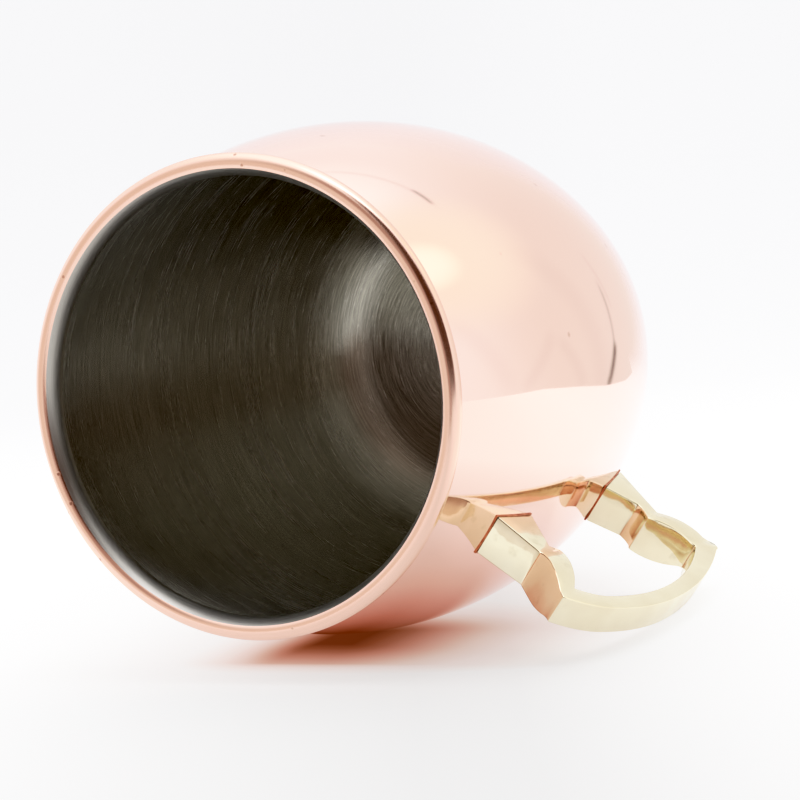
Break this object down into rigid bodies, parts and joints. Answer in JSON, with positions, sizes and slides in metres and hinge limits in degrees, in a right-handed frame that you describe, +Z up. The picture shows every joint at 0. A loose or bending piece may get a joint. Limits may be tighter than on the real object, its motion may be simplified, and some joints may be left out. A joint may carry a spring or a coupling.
{
  "type": "copper mug",
  "caption": "Barrel-shaped drinking mug of polished copper with a rolled rim, a brushed steel liner and a cast brass handle with flared ends",
  "frame": {"origin": "centre of the flat base, on the surface the mug stands on", "axes": "+Z up from the base to the rim, along the mug's axis; +X towards the handle; +Y completes the right-handed frame"},
  "size_m": [0.1133, 0.0888, 0.094],
  "materials": {
    "polished_copper": "mirror-polished copper, bright and lacquered",
    "satin_copper": "copper with a soft lathe-finished satin sheen",
    "brushed_steel": "stainless steel brushed round the axis, with fine circular scratches",
    "polished_brass": "pale cast brass, polished sides and a satin grip",
    "braze": "dark red-brown line of braze in a narrow joint"
  },
  "bodies": {
    "root": {"copper_shell": "polished_copper", "rolled_rim": "satin_copper", "steel_liner": "brushed_steel", "brass_handle": "polished_brass", "upper_braze_joint": "braze", "lower_braze_joint": "braze"}
  },
  "joints": []
}
